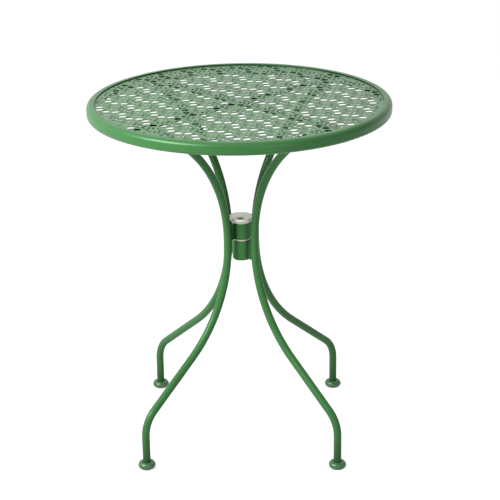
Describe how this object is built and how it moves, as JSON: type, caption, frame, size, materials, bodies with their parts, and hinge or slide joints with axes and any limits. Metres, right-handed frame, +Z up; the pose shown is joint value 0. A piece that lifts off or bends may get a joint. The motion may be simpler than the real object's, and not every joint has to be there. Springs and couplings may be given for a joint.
{
  "type": "bistro table",
  "caption": "Round metal bistro table: perforated rosette top in a rolled rim on bent tube legs that meet at a swivel hub.",
  "frame": {"origin": "on the floor under the hub axis, at the centre of the round top", "axes": "+Z up along the hub axis; the legs stand on the two diagonals; -Y is the front"},
  "size_m": [0.6, 0.6, 0.71],
  "materials": {
    "green_powder_coat": "satin powder coat",
    "green_plastic": "moulded, satin",
    "cream_plastic": "moulded, matt",
    "dark_plastic": "moulded, matt",
    "zinc_steel": "bright zinc"
  },
  "bodies": {
    "table": {"perforated_top": "green_powder_coat", "rim_shoulder": "green_powder_coat", "rim_band": "green_powder_coat", "rim_curl": "green_powder_coat", "brace_strip_long": "green_powder_coat", "brace_strip_front_half": "green_powder_coat", "brace_strip_back_half": "green_powder_coat", "leg_front_left": "green_powder_coat", "lug_front_left": "green_powder_coat", "hub_gusset_front_left": "green_powder_coat", "foot_pad_front_left": "green_plastic", "leg_back_right": "green_powder_coat", "lug_back_right": "green_powder_coat", "hub_gusset_back_right": "green_powder_coat", "foot_pad_back_right": "green_plastic", "hub_tube_upper": "green_powder_coat", "hub_pin": "cream_plastic", "hub_washer": "cream_plastic", "hub_cap": "dark_plastic", "top_bolts": "zinc_steel", "top_washers": "zinc_steel"},
    "swing_legs": {"hub_tube_lower": "green_powder_coat", "leg_front_right": "green_powder_coat", "lug_front_right": "green_powder_coat", "hub_gusset_front_right": "green_powder_coat", "foot_pad_front_right": "green_plastic", "leg_back_left": "green_powder_coat", "lug_back_left": "green_powder_coat", "hub_gusset_back_left": "green_powder_coat", "foot_pad_back_left": "green_plastic"}
  },
  "joints": [
    {"name": "leg_swing", "type": "hinge", "parent": "table", "child": "swing_legs", "pos_m": [0, 0, 0.3995], "axis": [0, 0, 1], "range_deg": [0, 62]}
  ]
}
